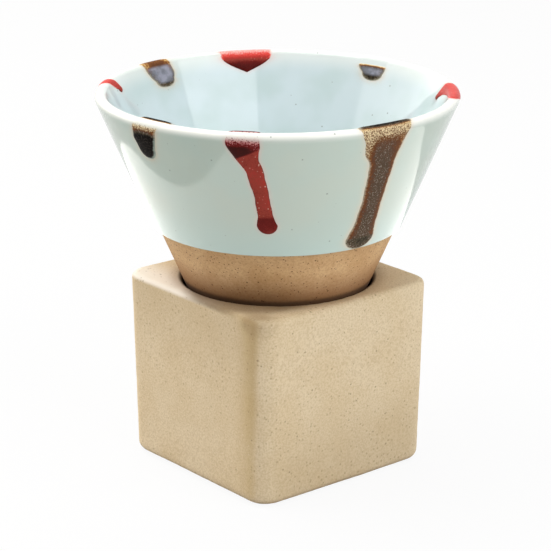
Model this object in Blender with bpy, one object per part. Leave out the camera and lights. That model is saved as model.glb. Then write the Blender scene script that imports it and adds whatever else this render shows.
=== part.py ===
"""Cone coffee cup that stands in a hollow cube stand, both of bare stoneware.

The cup is a turned clay cone. A pale glaze coat covers its inside, its lip and the upper part of its outside,
and eight runs of coloured glaze lie over the lip. The stand is a cast hollow cube with a round mouth in its top.
The cup's bare cone sits in the rounded edge of that mouth and lifts straight out.

Metres, +Z up. The origin is the middle of the stand's underside, and the stand's sides face X and Y.
"""

import math
from collections import namedtuple

import bmesh
import bpy
from mathutils import Vector

# Clay cone of the cup, measured before glazing
RIM_DIAMETER = 0.0941
FOOT_DIAMETER = 0.0300
CUP_HEIGHT = 0.0734
LIP_WALL = 0.0015
FLOOR_WALL = 0.0040
FLOOR_THICKNESS = 0.0050
FLOOR_FILLET = 0.0080
LIP_FILLET_SHARE = 0.48
FOOT_EDGE_RADIUS = 0.0010
FOOT_RECESS_DEPTH = 0.0008
FOOT_RING_WIDTH = 0.0050

# Fired glaze layers
LAYER_GAP = 0.0003
GLAZE_THICKNESS = 0.0005
GLAZE_ROLL = 0.0003
GLAZE_END_SHARE = 0.45
BARE_BAND_HEIGHT = 0.0392
RUN_THICKNESS = 0.0004
RUN_EDGE_SHARE = 0.35
RUN_POOL_LENGTH = 0.0110
RUN_TIP_WIDTH = 0.0004
SHORT_TONGUE = 0.0014
LONG_TONGUE = 0.0060
POOL_WIDTH = 0.0095
WIDE_POOL_WIDTH = 0.0158

# Cube stand: its top is as wide as the mouth and the land on both sides of it, and each side leans in by the draft
MOUTH_DIAMETER = 0.0502
MOUTH_LAND = 0.0044
MOUTH_EDGE_RADIUS = 0.0012
MOUTH_EDGE_ARC = math.radians(75)
SEAT_CLEARANCE = 0.0003
STAND_HEIGHT = 0.0510
STAND_DRAFT = 0.0008
STAND_WALL = 0.0034
STAND_FLOOR = 0.0050
STAND_CORNER_RADIUS = 0.0060
STAND_TOP_EDGE_RADIUS = 0.0014
STAND_FOOT_EDGE_RADIUS = 0.0024
HOLLOW_EDGE_RADIUS = 0.0040

# Facets
TURN_STEPS = 60
ARC_STEPS = 5
CORNER_STEPS = 6
RUN_COLUMNS = 4
RUN_TONGUE_ROWS = 5
RUN_LIP_ROWS = 5
RUN_STEM_ROWS = 7
RUN_BEAD_ROWS = 5

# Colour, roughness and metallic value of each fired surface
STAND_CLAY = ("stand_clay", (0.60, 0.47, 0.32), 0.90, 0.0)
CUP_CLAY = ("cup_clay", (0.52, 0.35, 0.19), 0.85, 0.0)
PALE_GLAZE = ("pale_glaze", (0.66, 0.76, 0.73), 0.12, 0.0)
RED_GLAZE = ("red_glaze", (0.32, 0.035, 0.03), 0.15, 0.0)
BROWN_GLAZE = ("brown_glaze", (0.11, 0.05, 0.025), 0.25, 0.0)

# How a coloured glaze runs together as it flows: the width of its stem and of the bead that ends it
Flow = namedtuple("Flow", "glaze stem_width bead_width")
RED_FLOW = Flow(RED_GLAZE, stem_width=0.0042, bead_width=0.0052)
BROWN_FLOW = Flow(BROWN_GLAZE, stem_width=0.0057, bead_width=0.0068)

# One run of coloured glaze: its angle on the lip, the degrees that it drifts round as it flows down the outside,
# the share of the way to the glaze line that it falls, the length of its tongue inside the lip, and the width of
# its pool on the lip.
Run = namedtuple("Run", "name flow azimuth drift fall tongue pool_width")
RUNS = (
    Run("brown_run_left", BROWN_FLOW, -176, -1, 0.30, SHORT_TONGUE, POOL_WIDTH),
    Run("red_run_front_left", RED_FLOW, -140, 6, 0.80, SHORT_TONGUE, POOL_WIDTH),
    Run("brown_run_front", BROWN_FLOW, -94, 2, 0.965, SHORT_TONGUE, WIDE_POOL_WIDTH),
    Run("red_run_front_right", RED_FLOW, -41, 4, 0.61, LONG_TONGUE, WIDE_POOL_WIDTH),
    Run("brown_run_right", BROWN_FLOW, 13, 4, 0.84, LONG_TONGUE, POOL_WIDTH),
    Run("red_run_back_right", RED_FLOW, 61, -3, 0.90, LONG_TONGUE, WIDE_POOL_WIDTH),
    Run("brown_run_back", BROWN_FLOW, 98, 3, 0.46, LONG_TONGUE, POOL_WIDTH),
    Run("red_run_back_left", RED_FLOW, 129, -3, 0.71, LONG_TONGUE, POOL_WIDTH),
)


def clear_scene():
    for old in list(bpy.data.objects):
        bpy.data.objects.remove(old, do_unlink=True)


def glaze_or_clay(finish):
    """The Principled material of one finish, made the first time that it is asked for."""
    name, colour, roughness, metallic = finish
    material = bpy.data.materials.get(name)
    if material is None:
        material = bpy.data.materials.new(name)
        material.use_nodes = True
        shader = material.node_tree.nodes["Principled BSDF"]
        shader.inputs["Base Color"].default_value = (*colour, 1.0)
        shader.inputs["Roughness"].default_value = roughness
        shader.inputs["Metallic"].default_value = metallic
        material.diffuse_color = (*colour, 1.0)
    return material


def add_object(name, mesh, finish=None, parent=None):
    placed = bpy.data.objects.new(name, mesh)
    bpy.context.scene.collection.objects.link(placed)
    placed.parent = parent
    if finish:
        mesh.materials.append(glaze_or_clay(finish))
    return placed


def as_cutter(tool):
    tool.hide_render = True
    tool.display_type = "WIRE"
    return tool


# Outlines in the (radius, height) half plane


def rounded(corners):
    """Points along corners of (radius, height, fillet). The first and last corner stay sharp."""
    points = [Vector(corners[0][:2])]
    for before, here, after in zip(corners, corners[1:], corners[2:]):
        corner = Vector(here[:2])
        back = (Vector(before[:2]) - corner).normalized()
        ahead = (Vector(after[:2]) - corner).normalized()
        fillet = here[2]
        if fillet <= 0:
            points.append(corner)
            continue
        half_angle = back.angle(ahead) / 2
        centre = corner + (back + ahead).normalized() * fillet / math.sin(half_angle)
        reach = fillet / math.tan(half_angle)
        first = corner + back * reach - centre
        last = corner + ahead * reach - centre
        sweep = first.angle(last)
        for step in range(ARC_STEPS + 1):
            share = step / ARC_STEPS
            turned = first * math.sin((1 - share) * sweep) + last * math.sin(share * sweep)
            points.append(centre + turned / math.sin(sweep))
    points.append(Vector(corners[-1][:2]))
    return points


def moved_out(corners, distance):
    """The same corners moved by distance to the right of the way they run, with fillets that stay concentric."""
    places = [Vector(corner[:2]) for corner in corners]
    ways = [(b - a).normalized() for a, b in zip(places, places[1:])]
    rights = [Vector((way.y, -way.x)) for way in ways]
    moved = []
    for index, (place, corner) in enumerate(zip(places, corners)):
        before, after = rights[max(index - 1, 0)], rights[min(index, len(rights) - 1)]
        shifted = place + (before + after) * distance / (1 + before.dot(after))
        turns_left = before.cross(after) > 0
        fillet = corner[2] + (distance if turns_left else -distance) if corner[2] else 0
        moved.append((shifted.x, shifted.y, fillet))
    return moved


CONE_SLOPE = (RIM_DIAMETER - FOOT_DIAMETER) / 2 / CUP_HEIGHT
CONE_COSINE = math.cos(math.atan(CONE_SLOPE))


def cone_radius(height):
    """Radius of the clay cone's outside at a height above the foot."""
    return FOOT_DIAMETER / 2 + CONE_SLOPE * height


def glazed_corners():
    """Corners of the clay under the glaze: from the glaze line up the outside, over the lip and down the inside."""
    lip_fillet = LIP_FILLET_SHARE * LIP_WALL
    floor_radius = cone_radius(FLOOR_THICKNESS) - FLOOR_WALL / CONE_COSINE
    return [
        (cone_radius(BARE_BAND_HEIGHT), BARE_BAND_HEIGHT, 0),
        (RIM_DIAMETER / 2, CUP_HEIGHT, lip_fillet),
        (RIM_DIAMETER / 2 - LIP_WALL / CONE_COSINE, CUP_HEIGHT, lip_fillet),
        (floor_radius, FLOOR_THICKNESS, FLOOR_FILLET),
        (0, FLOOR_THICKNESS, 0),
    ]


def coat_face_corners():
    """Corners of the pale glaze's open face. It thickens down the outside towards its rolled lower end."""
    face = moved_out(glazed_corners(), LAYER_GAP + GLAZE_THICKNESS)
    rolled = moved_out(glazed_corners(), LAYER_GAP + GLAZE_THICKNESS + GLAZE_ROLL)
    return [rolled[0], *face[1:]]


def turned_solid(name, outline, finish=None, parent=None):
    """The solid that an outline sweeps round Z. The outline runs from the axis and down its outer side."""
    mesh = bpy.data.meshes.new(name)
    edges = [(i, i + 1) for i in range(len(outline) - 1)]
    mesh.from_pydata([(point[0], 0, point[1]) for point in outline], edges, [])
    solid = add_object(name, mesh, finish, parent)
    sweep = solid.modifiers.new("turn", "SCREW")
    sweep.axis = "Z"
    sweep.steps = TURN_STEPS
    sweep.render_steps = TURN_STEPS
    sweep.use_merge_vertices = True
    sweep.merge_threshold = 0.00001
    sweep.use_smooth_shade = True
    return solid


def make_cup_body(cup):
    """The turned clay cone with its round lip, bare flat foot and the shallow hollow under the foot."""
    foot_radius = FOOT_DIAMETER / 2
    inside = list(reversed(glazed_corners()))[:-1]
    outline = rounded(
        inside
        + [
            (foot_radius, 0, FOOT_EDGE_RADIUS),
            (foot_radius - FOOT_RING_WIDTH, 0, 0),
            (foot_radius - FOOT_RING_WIDTH - FOOT_RECESS_DEPTH, FOOT_RECESS_DEPTH, 0),
            (0, FOOT_RECESS_DEPTH, 0),
        ]
    )
    return turned_solid("cup_body", outline, CUP_CLAY, cup)


def make_glaze_coat(cup):
    """The pale glaze: a thin shell over the inside, the lip and the outside down to the glaze line."""
    end_fillet = GLAZE_END_SHARE * GLAZE_THICKNESS
    face = list(reversed(coat_face_corners()))
    bed = moved_out(glazed_corners(), LAYER_GAP)
    face[-1] = (*face[-1][:2], end_fillet)
    bed[0] = (*bed[0][:2], end_fillet)
    return turned_solid("glaze_coat", rounded(face + bed), PALE_GLAZE, cup)


# Runs of coloured glaze


class Bed:
    """The line on which a run lies, measured from the lip's crest: outside is positive, inside is negative."""

    def __init__(self):
        line = rounded(moved_out(coat_face_corners(), LAYER_GAP))
        crest = max(range(len(line)), key=lambda index: line[index].y)
        self.outside = list(reversed(line[: crest + 1]))
        self.inside = line[crest:]
        self.fall_length = sum((end - start).length for start, end in zip(self.outside, self.outside[1:]))
        lip_radius = LIP_FILLET_SHARE * LIP_WALL + GLAZE_THICKNESS + 2 * LAYER_GAP
        self.lip_length = lip_radius * (math.pi / 2 + math.atan(CONE_SLOPE))

    def at(self, distance):
        """(radius, height) at a distance from the crest."""
        line = self.outside if distance >= 0 else self.inside
        left = abs(distance)
        for start, end in zip(line, line[1:]):
            length = (end - start).length
            if left <= length:
                break
            left -= length
        return start.lerp(end, left / length)


def eased(share):
    share = min(max(share, 0), 1)
    return share * share * (3 - 2 * share)


def round_end(share):
    """Share of its full width that a round end has, from 1 where it starts to 0 at its tip."""
    return math.sqrt(max(1 - share * share, 0))


def run_width(run, length, distance):
    """Width of a run: a round tongue inside, the pool on the lip, the stem, and the bead where it stopped."""
    if distance < 0:
        return run.pool_width * round_end(distance / run.tongue)
    stem_width, bead_width = run.flow.stem_width, run.flow.bead_width
    bead_centre = length - bead_width / 2
    to_stem = eased(distance / min(RUN_POOL_LENGTH, bead_centre))
    to_bead = eased(1 - (bead_centre - distance) / bead_width)
    width = run.pool_width + (stem_width - run.pool_width) * to_stem
    width += (bead_width - width) * to_bead
    return width * round_end(max(distance - bead_centre, 0) / (bead_width / 2))


def run_rows(run, bed, length):
    """Distances from the crest at which a run's rows lie, closer together round the lip and at both round ends."""
    quarter = math.pi / 2
    bead_radius = run.flow.bead_width / 2
    stem_length = length - bead_radius - bed.lip_length
    rows = [-run.tongue * math.cos(quarter * i / RUN_TONGUE_ROWS) for i in range(RUN_TONGUE_ROWS)]
    rows += [bed.lip_length * i / RUN_LIP_ROWS for i in range(RUN_LIP_ROWS)]
    rows += [bed.lip_length + stem_length * i / RUN_STEM_ROWS for i in range(RUN_STEM_ROWS)]
    ends = [math.sin(quarter * i / RUN_BEAD_ROWS) for i in range(RUN_BEAD_ROWS + 1)]
    return rows + [length - bead_radius * (1 - share) for share in ends]


def make_run(run, bed, cup):
    """One run: a strip of faces laid over the lip, thickened outwards to a bead that thins towards its edges."""
    shape = bmesh.new()
    strips = []
    heights = []
    length = run.fall * bed.fall_length
    for distance in run_rows(run, bed, length):
        radius, height = bed.at(distance)
        middle = math.radians(run.azimuth + run.drift * eased(distance / length))
        half_angle = max(run_width(run, length, distance), RUN_TIP_WIDTH) / 2 / radius
        strip = []
        for column in range(RUN_COLUMNS + 1):
            across = 2 * column / RUN_COLUMNS - 1
            angle = middle + across * half_angle
            strip.append(shape.verts.new((radius * math.cos(angle), radius * math.sin(angle), height)))
            heights.append(1 - across * across)
        strips.append(strip)
    for upper, lower in zip(strips, strips[1:]):
        for column in range(RUN_COLUMNS):
            shape.faces.new((upper[column], lower[column], lower[column + 1], upper[column + 1]))
    mesh = bpy.data.meshes.new(run.name)
    shape.to_mesh(mesh)
    shape.free()
    mesh.shade_smooth()
    placed = add_object(run.name, mesh, run.flow.glaze, cup)
    crown = placed.vertex_groups.new(name="crown")
    for index, share in enumerate(heights):
        crown.add([index], share, "REPLACE")
    layer = placed.modifiers.new("layer", "SOLIDIFY")
    layer.thickness = RUN_THICKNESS
    layer.offset = 1
    layer.vertex_group = crown.name
    layer.thickness_vertex_group = RUN_EDGE_SHARE
    return placed


# The cube stand


def rounded_block(name, foot_side, top_side, low, high, corner_radius, foot_edge_radius, top_edge_radius):
    """A block that widens from its foot to its top, with round upright corners and round level edges."""
    shape = bmesh.new()
    bmesh.ops.create_cube(shape, size=1)
    for vert in shape.verts:
        side = top_side if vert.co.z > 0 else foot_side
        vert.co = (vert.co.x * side, vert.co.y * side, high if vert.co.z > 0 else low)
    middle = (low + high) / 2
    upright = [edge for edge in shape.edges if abs(edge.verts[0].co.z - edge.verts[1].co.z) > (high - low) / 2]
    bmesh.ops.bevel(
        shape, geom=upright, offset=corner_radius, segments=CORNER_STEPS, profile=0.5, affect="EDGES"
    )
    foot = [edge for edge in shape.edges if max(vert.co.z for vert in edge.verts) < middle]
    bmesh.ops.bevel(shape, geom=foot, offset=foot_edge_radius, segments=ARC_STEPS, profile=0.5, affect="EDGES")
    top = [edge for edge in shape.edges if min(vert.co.z for vert in edge.verts) > middle]
    bmesh.ops.bevel(shape, geom=top, offset=top_edge_radius, segments=ARC_STEPS, profile=0.5, affect="EDGES")
    bmesh.ops.recalc_face_normals(shape, faces=shape.faces)
    mesh = bpy.data.meshes.new(name)
    shape.to_mesh(mesh)
    shape.free()
    return mesh


def mouth_edge_centre():
    """(radius, height) of the centre of the arc that rounds the mouth's edge."""
    return (
        MOUTH_DIAMETER / 2 + MOUTH_EDGE_RADIUS,
        STAND_HEIGHT - MOUTH_EDGE_RADIUS * math.sin(MOUTH_EDGE_ARC),
    )


def mouth_cutter(stand):
    """What the mouth takes out of the stand's top: a round hole whose upper edge is rolled over."""
    radius, height = mouth_edge_centre()
    above = STAND_HEIGHT + STAND_WALL
    arc_ends = [math.pi / 2 * step / ARC_STEPS for step in range(ARC_STEPS, -1, -1)]
    edge = [
        (radius - MOUTH_EDGE_RADIUS * math.cos(angle), height + MOUTH_EDGE_RADIUS * math.sin(angle))
        for angle in arc_ends
    ]
    below = STAND_HEIGHT - 2 * STAND_WALL
    outline = [(0, above), (radius, above), *edge, (MOUTH_DIAMETER / 2, below), (0, below)]
    return as_cutter(turned_solid("mouth_cutter", outline, None, stand))


def make_stand(stand):
    """The cast cube: even walls round a rounded hollow, a closed flat underside and the round mouth."""
    top_side = MOUTH_DIAMETER + 2 * MOUTH_LAND
    foot_side = top_side - 2 * STAND_DRAFT
    outside = rounded_block(
        "cube_stand",
        foot_side,
        top_side,
        0,
        STAND_HEIGHT,
        STAND_CORNER_RADIUS,
        STAND_FOOT_EDGE_RADIUS,
        STAND_TOP_EDGE_RADIUS,
    )
    block = add_object("cube_stand", outside, STAND_CLAY, stand)
    hollow = rounded_block(
        "hollow_cutter",
        foot_side - 2 * STAND_WALL,
        top_side - 2 * STAND_WALL,
        STAND_FLOOR,
        STAND_HEIGHT - STAND_WALL,
        STAND_CORNER_RADIUS,
        HOLLOW_EDGE_RADIUS,
        HOLLOW_EDGE_RADIUS,
    )
    for tool in (as_cutter(add_object("hollow_cutter", hollow, None, stand)), mouth_cutter(stand)):
        cut = block.modifiers.new(tool.name, "BOOLEAN")
        cut.operation = "DIFFERENCE"
        cut.solver = "EXACT"
        cut.object = tool
    return block


def seat_height():
    """Height of the cup's foot above the table when its cone sits in the mouth's rounded edge."""
    radius, height = mouth_edge_centre()
    cone_at_centre = radius - (MOUTH_EDGE_RADIUS + SEAT_CLEARANCE) / CONE_COSINE
    return height - (cone_at_centre - FOOT_DIAMETER / 2) / CONE_SLOPE


def frame_point(name, height):
    """An empty on the lift axis, to which the pieces of one body are parented."""
    point = bpy.data.objects.new(name, None)
    bpy.context.scene.collection.objects.link(point)
    point.location = (0, 0, height)
    return point


def main():
    clear_scene()
    make_stand(frame_point("stand", 0))
    cup = frame_point("cup", seat_height())
    make_cup_body(cup)
    make_glaze_coat(cup)
    bed = Bed()
    for run in RUNS:
        make_run(run, bed, cup)


main()
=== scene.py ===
"""Cone coffee cup with runs of coloured glaze over its lip, standing in a hollow cube of bare stoneware.

Metres, +Z up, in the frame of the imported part: the origin is the middle of the stand's underside.
"""

import math

import bmesh
import bpy
import numpy as np
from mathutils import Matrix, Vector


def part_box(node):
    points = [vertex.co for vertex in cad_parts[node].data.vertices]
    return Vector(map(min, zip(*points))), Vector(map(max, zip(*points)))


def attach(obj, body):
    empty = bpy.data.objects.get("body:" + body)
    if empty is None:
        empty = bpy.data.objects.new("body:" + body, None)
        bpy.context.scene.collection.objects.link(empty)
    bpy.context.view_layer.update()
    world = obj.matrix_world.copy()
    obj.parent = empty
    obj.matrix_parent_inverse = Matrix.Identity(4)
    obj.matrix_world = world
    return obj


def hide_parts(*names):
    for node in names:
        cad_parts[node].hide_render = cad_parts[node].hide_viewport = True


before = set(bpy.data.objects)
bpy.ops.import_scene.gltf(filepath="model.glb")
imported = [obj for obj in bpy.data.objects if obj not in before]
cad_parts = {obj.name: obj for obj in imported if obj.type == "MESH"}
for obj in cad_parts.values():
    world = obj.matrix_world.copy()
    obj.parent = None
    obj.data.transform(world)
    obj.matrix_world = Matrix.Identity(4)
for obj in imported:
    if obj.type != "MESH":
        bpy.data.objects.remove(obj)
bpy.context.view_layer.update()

# Cube stand
# A hollow cube of beige stoneware, slip-cast in a plaster mould, sponged round its edges and fired bare.
# The cup's cone rests in the rounded edge of the mouth in its top, which is darkened with painted shade.

stand_low, stand_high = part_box("cube_stand")
stand_height = stand_high.z
stand_top_side = stand_high.x - stand_low.x
stand_draft = 0.0008
stand_wall = 0.0034
stand_floor = 0.0050
stand_corner_radius = 0.0060
stand_top_edge = 0.0014
stand_foot_edge = 0.0024
hollow_edge_radius = 0.0040
mouth_radius = 0.0254
mouth_edge_radius = 0.0012
mouth_edge_arc = math.radians(75)
mouth_steps = 128
stand_grid = 0.0006
stand_waviness = (0.014, 0.00022)
stand_sandiness = (0.0022, 0.00007)


def select_only(piece):
    bpy.ops.object.select_all(action="DESELECT")
    piece.select_set(True)
    bpy.context.view_layer.objects.active = piece


def pick_edges(piece, wanted):
    """In edit mode, selects the edges that wanted(edge) is true for and nothing else."""
    bpy.ops.mesh.select_mode(type="EDGE")
    bpy.ops.mesh.select_all(action="DESELECT")
    shape = bmesh.from_edit_mesh(piece.data)
    for edge in shape.edges:
        edge.select_set(wanted(edge))
    bmesh.update_edit_mesh(piece.data)


def rise(edge):
    return abs(edge.verts[0].co.z - edge.verts[1].co.z)


def cast_block(name, foot_side, top_side, low, high, corner_radius, foot_edge, top_edge):
    """A block that widens from foot to top, with round upright corners and round level edges."""
    bpy.ops.object.select_all(action="DESELECT")
    bpy.ops.mesh.primitive_cube_add(size=1, location=(0, 0, (low + high) / 2))
    block = bpy.context.object
    block.name = name
    block.scale = (foot_side, foot_side, high - low)
    bpy.ops.object.transform_apply(location=True, rotation=False, scale=True)
    bpy.ops.object.mode_set(mode="EDIT")
    pick_edges(block, lambda edge: min(vert.co.z for vert in edge.verts) > (low + high) / 2)
    widening = top_side / foot_side
    bpy.ops.transform.resize(value=(widening, widening, 1), center_override=(0, 0, high))
    pick_edges(block, lambda edge: rise(edge) > (high - low) / 2)
    bpy.ops.mesh.bevel(offset=corner_radius, segments=12, affect="EDGES")
    pick_edges(block, lambda edge: max(vert.co.z for vert in edge.verts) < (low + high) / 2)
    bpy.ops.mesh.bevel(offset=foot_edge, segments=8, affect="EDGES")
    pick_edges(block, lambda edge: min(vert.co.z for vert in edge.verts) > (low + high) / 2)
    bpy.ops.mesh.bevel(offset=top_edge, segments=8, affect="EDGES")
    bpy.ops.object.mode_set(mode="OBJECT")
    return block


def apply_modifier(piece, kind, **settings):
    select_only(piece)
    modifier = piece.modifiers.new(kind.lower(), kind)
    for setting, value in settings.items():
        setattr(modifier, setting, value)
    bpy.ops.object.modifier_apply(modifier=modifier.name)


def turned(name, outline, steps):
    """What an outline of (radius, height) points sweeps when it is turned once round Z."""
    mesh = bpy.data.meshes.new(name)
    points = [(radius, 0, height) for radius, height in outline]
    mesh.from_pydata(points, [(index, index + 1) for index in range(len(points) - 1)], [])
    piece = bpy.data.objects.new(name, mesh)
    bpy.context.scene.collection.objects.link(piece)
    apply_modifier(
        piece,
        "SCREW",
        axis="Z",
        steps=steps,
        render_steps=steps,
        use_merge_vertices=True,
        merge_threshold=0.000002,
        use_smooth_shade=True,
    )
    bpy.ops.object.mode_set(mode="EDIT")
    bpy.ops.mesh.select_all(action="SELECT")
    bpy.ops.mesh.normals_make_consistent(inside=False)
    bpy.ops.object.mode_set(mode="OBJECT")
    return piece


def cut_away(piece, tool):
    apply_modifier(piece, "BOOLEAN", operation="DIFFERENCE", solver="EXACT", object=tool)
    bpy.data.objects.remove(tool, do_unlink=True)


def roughen(piece, size, height):
    """Pushes the surface in and out by clouds of one size, as a hand-finished surface is uneven."""
    clouds = bpy.data.textures.new(f"{piece.name}_clouds", "CLOUDS")
    clouds.noise_scale = size
    clouds.noise_depth = 1
    apply_modifier(piece, "DISPLACE", texture=clouds, texture_coords="LOCAL", strength=height, mid_level=0.5)


stand_foot_side = stand_top_side - 2 * stand_draft
stand = cast_block(
    "stand_looks",
    stand_foot_side,
    stand_top_side,
    0,
    stand_height,
    stand_corner_radius,
    stand_foot_edge,
    stand_top_edge,
)
hollow = cast_block(
    "stand_hollow",
    stand_foot_side - 2 * stand_wall,
    stand_top_side - 2 * stand_wall,
    stand_floor,
    stand_height - stand_wall,
    stand_corner_radius,
    hollow_edge_radius,
    hollow_edge_radius,
)
mouth_arc_radius = mouth_radius + mouth_edge_radius
mouth_arc_height = stand_height - mouth_edge_radius * math.sin(mouth_edge_arc)
mouth_outline = [(0, stand_height + stand_wall), (mouth_arc_radius, stand_height + stand_wall)]
for step in range(13):
    angle = math.pi / 2 * (1 - step / 12)
    mouth_outline.append(
        (
            mouth_arc_radius - mouth_edge_radius * math.cos(angle),
            mouth_arc_height + mouth_edge_radius * math.sin(angle),
        )
    )
mouth_outline += [(mouth_radius, stand_height - 2 * stand_wall), (0, stand_height - 2 * stand_wall)]
cut_away(stand, hollow)
cut_away(stand, turned("stand_mouth", mouth_outline, mouth_steps))
apply_modifier(stand, "REMESH", mode="VOXEL", voxel_size=stand_grid, use_smooth_shade=True)
apply_modifier(stand, "SMOOTH", factor=0.5, iterations=2)
roughen(stand, *stand_waviness)
roughen(stand, *stand_sandiness)


def colour(red, green, blue):
    """A colour given in everyday values from 0 to 255, as the shader's linear colour."""
    linear = []
    for value in (red / 255, green / 255, blue / 255):
        linear.append(value / 12.92 if value <= 0.04045 else ((value + 0.055) / 1.055) ** 2.4)
    return (*linear, 1.0)


def start_material(name, roughness):
    """A Principled material of an even roughness, and the piece's own coordinates for its patterns."""
    material = bpy.data.materials.new(name)
    material.use_nodes = True
    tree = material.node_tree
    shader = tree.nodes["Principled BSDF"]
    shader.inputs["Roughness"].default_value = roughness
    place = tree.nodes.new("ShaderNodeTexCoord").outputs["Object"]
    return material, tree, shader, place


def add_node(tree, kind, inputs, **settings):
    """Adds a node. An input is either a value or another node's socket."""
    node = tree.nodes.new(kind)
    for setting, value in settings.items():
        setattr(node, setting, value)
    for socket, value in inputs.items():
        if isinstance(value, bpy.types.NodeSocket):
            tree.links.new(value, node.inputs[socket])
        else:
            node.inputs[socket].default_value = value
    return node


def calc(tree, operation, first, second=0.0, third=0.0, clamp=False):
    inputs = {0: first, 1: second, 2: third}
    return add_node(tree, "ShaderNodeMath", inputs, operation=operation, use_clamp=clamp).outputs[0]


def blend_colours(tree, share, first, second):
    node = add_node(tree, "ShaderNodeMix", {0: share, 6: first, 7: second}, data_type="RGBA")
    return node.outputs[2]


def fade(tree, value, start, end, low=0.0, high=1.0):
    """Goes smoothly from low, where value is start, to high, where it is end."""
    inputs = {"Value": value, "From Min": start, "From Max": end, "To Min": low, "To Max": high}
    return add_node(tree, "ShaderNodeMapRange", inputs, interpolation_type="SMOOTHSTEP").outputs["Result"]


def clouds_of(tree, place, size, detail=2.0):
    """Soft noise round 0.5 whose patches are about this size."""
    inputs = {"Vector": place, "Scale": 1 / size, "Detail": detail}
    return add_node(tree, "ShaderNodeTexNoise", inputs).outputs[0]


def specks_of(tree, place, spacing, radius, share):
    """1 inside round specks of up to this radius, of which only a share of the places has one."""
    cells = add_node(tree, "ShaderNodeTexVoronoi", {"Vector": place, "Scale": 1 / spacing})
    chance = add_node(tree, "ShaderNodeSeparateColor", {0: cells.outputs["Color"]})
    limit = calc(tree, "MULTIPLY_ADD", chance.outputs[1], 0.6 * radius / spacing, 0.4 * radius / spacing)
    inside = calc(tree, "SUBTRACT", limit, cells.outputs["Distance"])
    soft = calc(tree, "MULTIPLY", inside, 4 * spacing / radius, clamp=True)
    present = calc(tree, "LESS_THAN", chance.outputs[0], share)
    return calc(tree, "MULTIPLY", soft, present)


def grain_bump(tree, shader, heights, depth):
    bump = add_node(tree, "ShaderNodeBump", {"Height": heights, "Strength": 1.0, "Distance": depth})
    tree.links.new(bump.outputs["Normal"], shader.inputs["Normal"])


beige = colour(217, 196, 161)
pale_beige = colour(223, 204, 172)
grain_brown = colour(180, 153, 114)
end_shade_ochre = colour(180, 150, 94)
face_shade_brown = colour(178, 154, 116)
light_pool_white = colour(250, 242, 230)
mouth_shade_brown = colour(150, 118, 78)
gap_shade_brown = colour(72, 51, 32)
corner_shade_brown = colour(136, 108, 72)
cup_shadow_brown = colour(112, 88, 58)
foot_shade_brown = colour(116, 90, 58)
sand_white = colour(232, 218, 194)
pore_brown = colour(142, 114, 76)
stand_iron = colour(112, 86, 56)
shaded_corner = (-0.0262, -0.0246, stand_height - 0.0004)
crescent_middle = (-0.0140, -0.0078, 0.0)

stand_clay, tree, shader, place = start_material("stand_clay_looks", 0.92)
shader.inputs["Specular IOR Level"].default_value = 0.25
side_x, side_y, height = add_node(tree, "ShaderNodeSeparateXYZ", {0: place}).outputs
patches = clouds_of(tree, place, 0.011, 3.0)
grain = clouds_of(tree, place, 0.0005, 3.0)
tone = blend_colours(tree, fade(tree, patches, 0.3, 0.7), beige, pale_beige)
tone = blend_colours(tree, fade(tree, grain, 0.36, 0.68, 0.0, 0.38), tone, grain_brown)

# Painted shade towards one end of two faces and at the top or the foot of faces, and a painted pool of light
# on the top
on_side = fade(tree, calc(tree, "ABSOLUTE", side_x), 0.0279, 0.0291)
on_end = fade(tree, calc(tree, "ABSOLUTE", side_y), 0.0279, 0.0291)
# Painted shade towards the -Y end of the two X faces
end_shade = calc(tree, "MULTIPLY", fade(tree, side_y, -0.0165, -0.0258, 0.0, 0.60), on_side)
tone = blend_colours(tree, end_shade, tone, end_shade_ochre)
# Painted shade: the tops of the two X faces and the feet of the two Y faces darker
top_shade = calc(tree, "MULTIPLY", on_side, fade(tree, height, 0.026, 0.046, 0.0, 0.30))
tone = blend_colours(tree, top_shade, tone, face_shade_brown)
foot_end_shade = calc(tree, "MULTIPLY", fade(tree, height, 0.026, 0.006, 0.0, 0.34), on_end)
tone = blend_colours(tree, foot_end_shade, tone, face_shade_brown)
on_top = fade(tree, height, stand_height - 0.0016, stand_height - 0.0004)
# Painted light: a paler pool on the back-left part of the top
light_pool = calc(tree, "MULTIPLY", on_top, fade(tree, side_x, -0.0150, -0.0270, 0.0, 0.85))
light_pool = calc(tree, "MULTIPLY", light_pool, fade(tree, side_y, -0.0150, 0.0050))
tone = blend_colours(tree, light_pool, tone, light_pool_white)

# Painted shade round the mouth's edge and in the gap at the cup, a painted shadow of the cup as a crescent on
# one side of it, and painted shade on the front corner and round the foot
level_place = add_node(tree, "ShaderNodeCombineXYZ", {0: side_x, 1: side_y}).outputs[0]
from_axis = add_node(tree, "ShaderNodeVectorMath", {0: level_place}, operation="LENGTH").outputs["Value"]
near_top = fade(tree, height, stand_height - 0.0050, stand_height - 0.0010)
# Painted shade: darker round the mouth's edge
mouth_shade = calc(tree, "MULTIPLY", near_top, fade(tree, from_axis, 0.0262, 0.0302, 0.45, 0.0))
tone = blend_colours(tree, mouth_shade, tone, mouth_shade_brown)
# Painted shade in the narrow gap where the cup's cone meets the mouth's edge
gap_shade = calc(tree, "MULTIPLY", near_top, fade(tree, from_axis, 0.0256, 0.0268, 0.75, 0.0))
tone = blend_colours(tree, gap_shade, tone, gap_shade_brown)
# Painted shadow of the cup: a dark crescent on the top in front of the mouth
to_crescent = {0: level_place, 1: crescent_middle}
from_crescent = add_node(tree, "ShaderNodeVectorMath", to_crescent, operation="DISTANCE").outputs["Value"]
crescent = calc(tree, "MULTIPLY", on_top, fade(tree, from_crescent, 0.0145, 0.0200, 0.72, 0.0))
tone = blend_colours(tree, crescent, tone, cup_shadow_brown)
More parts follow.
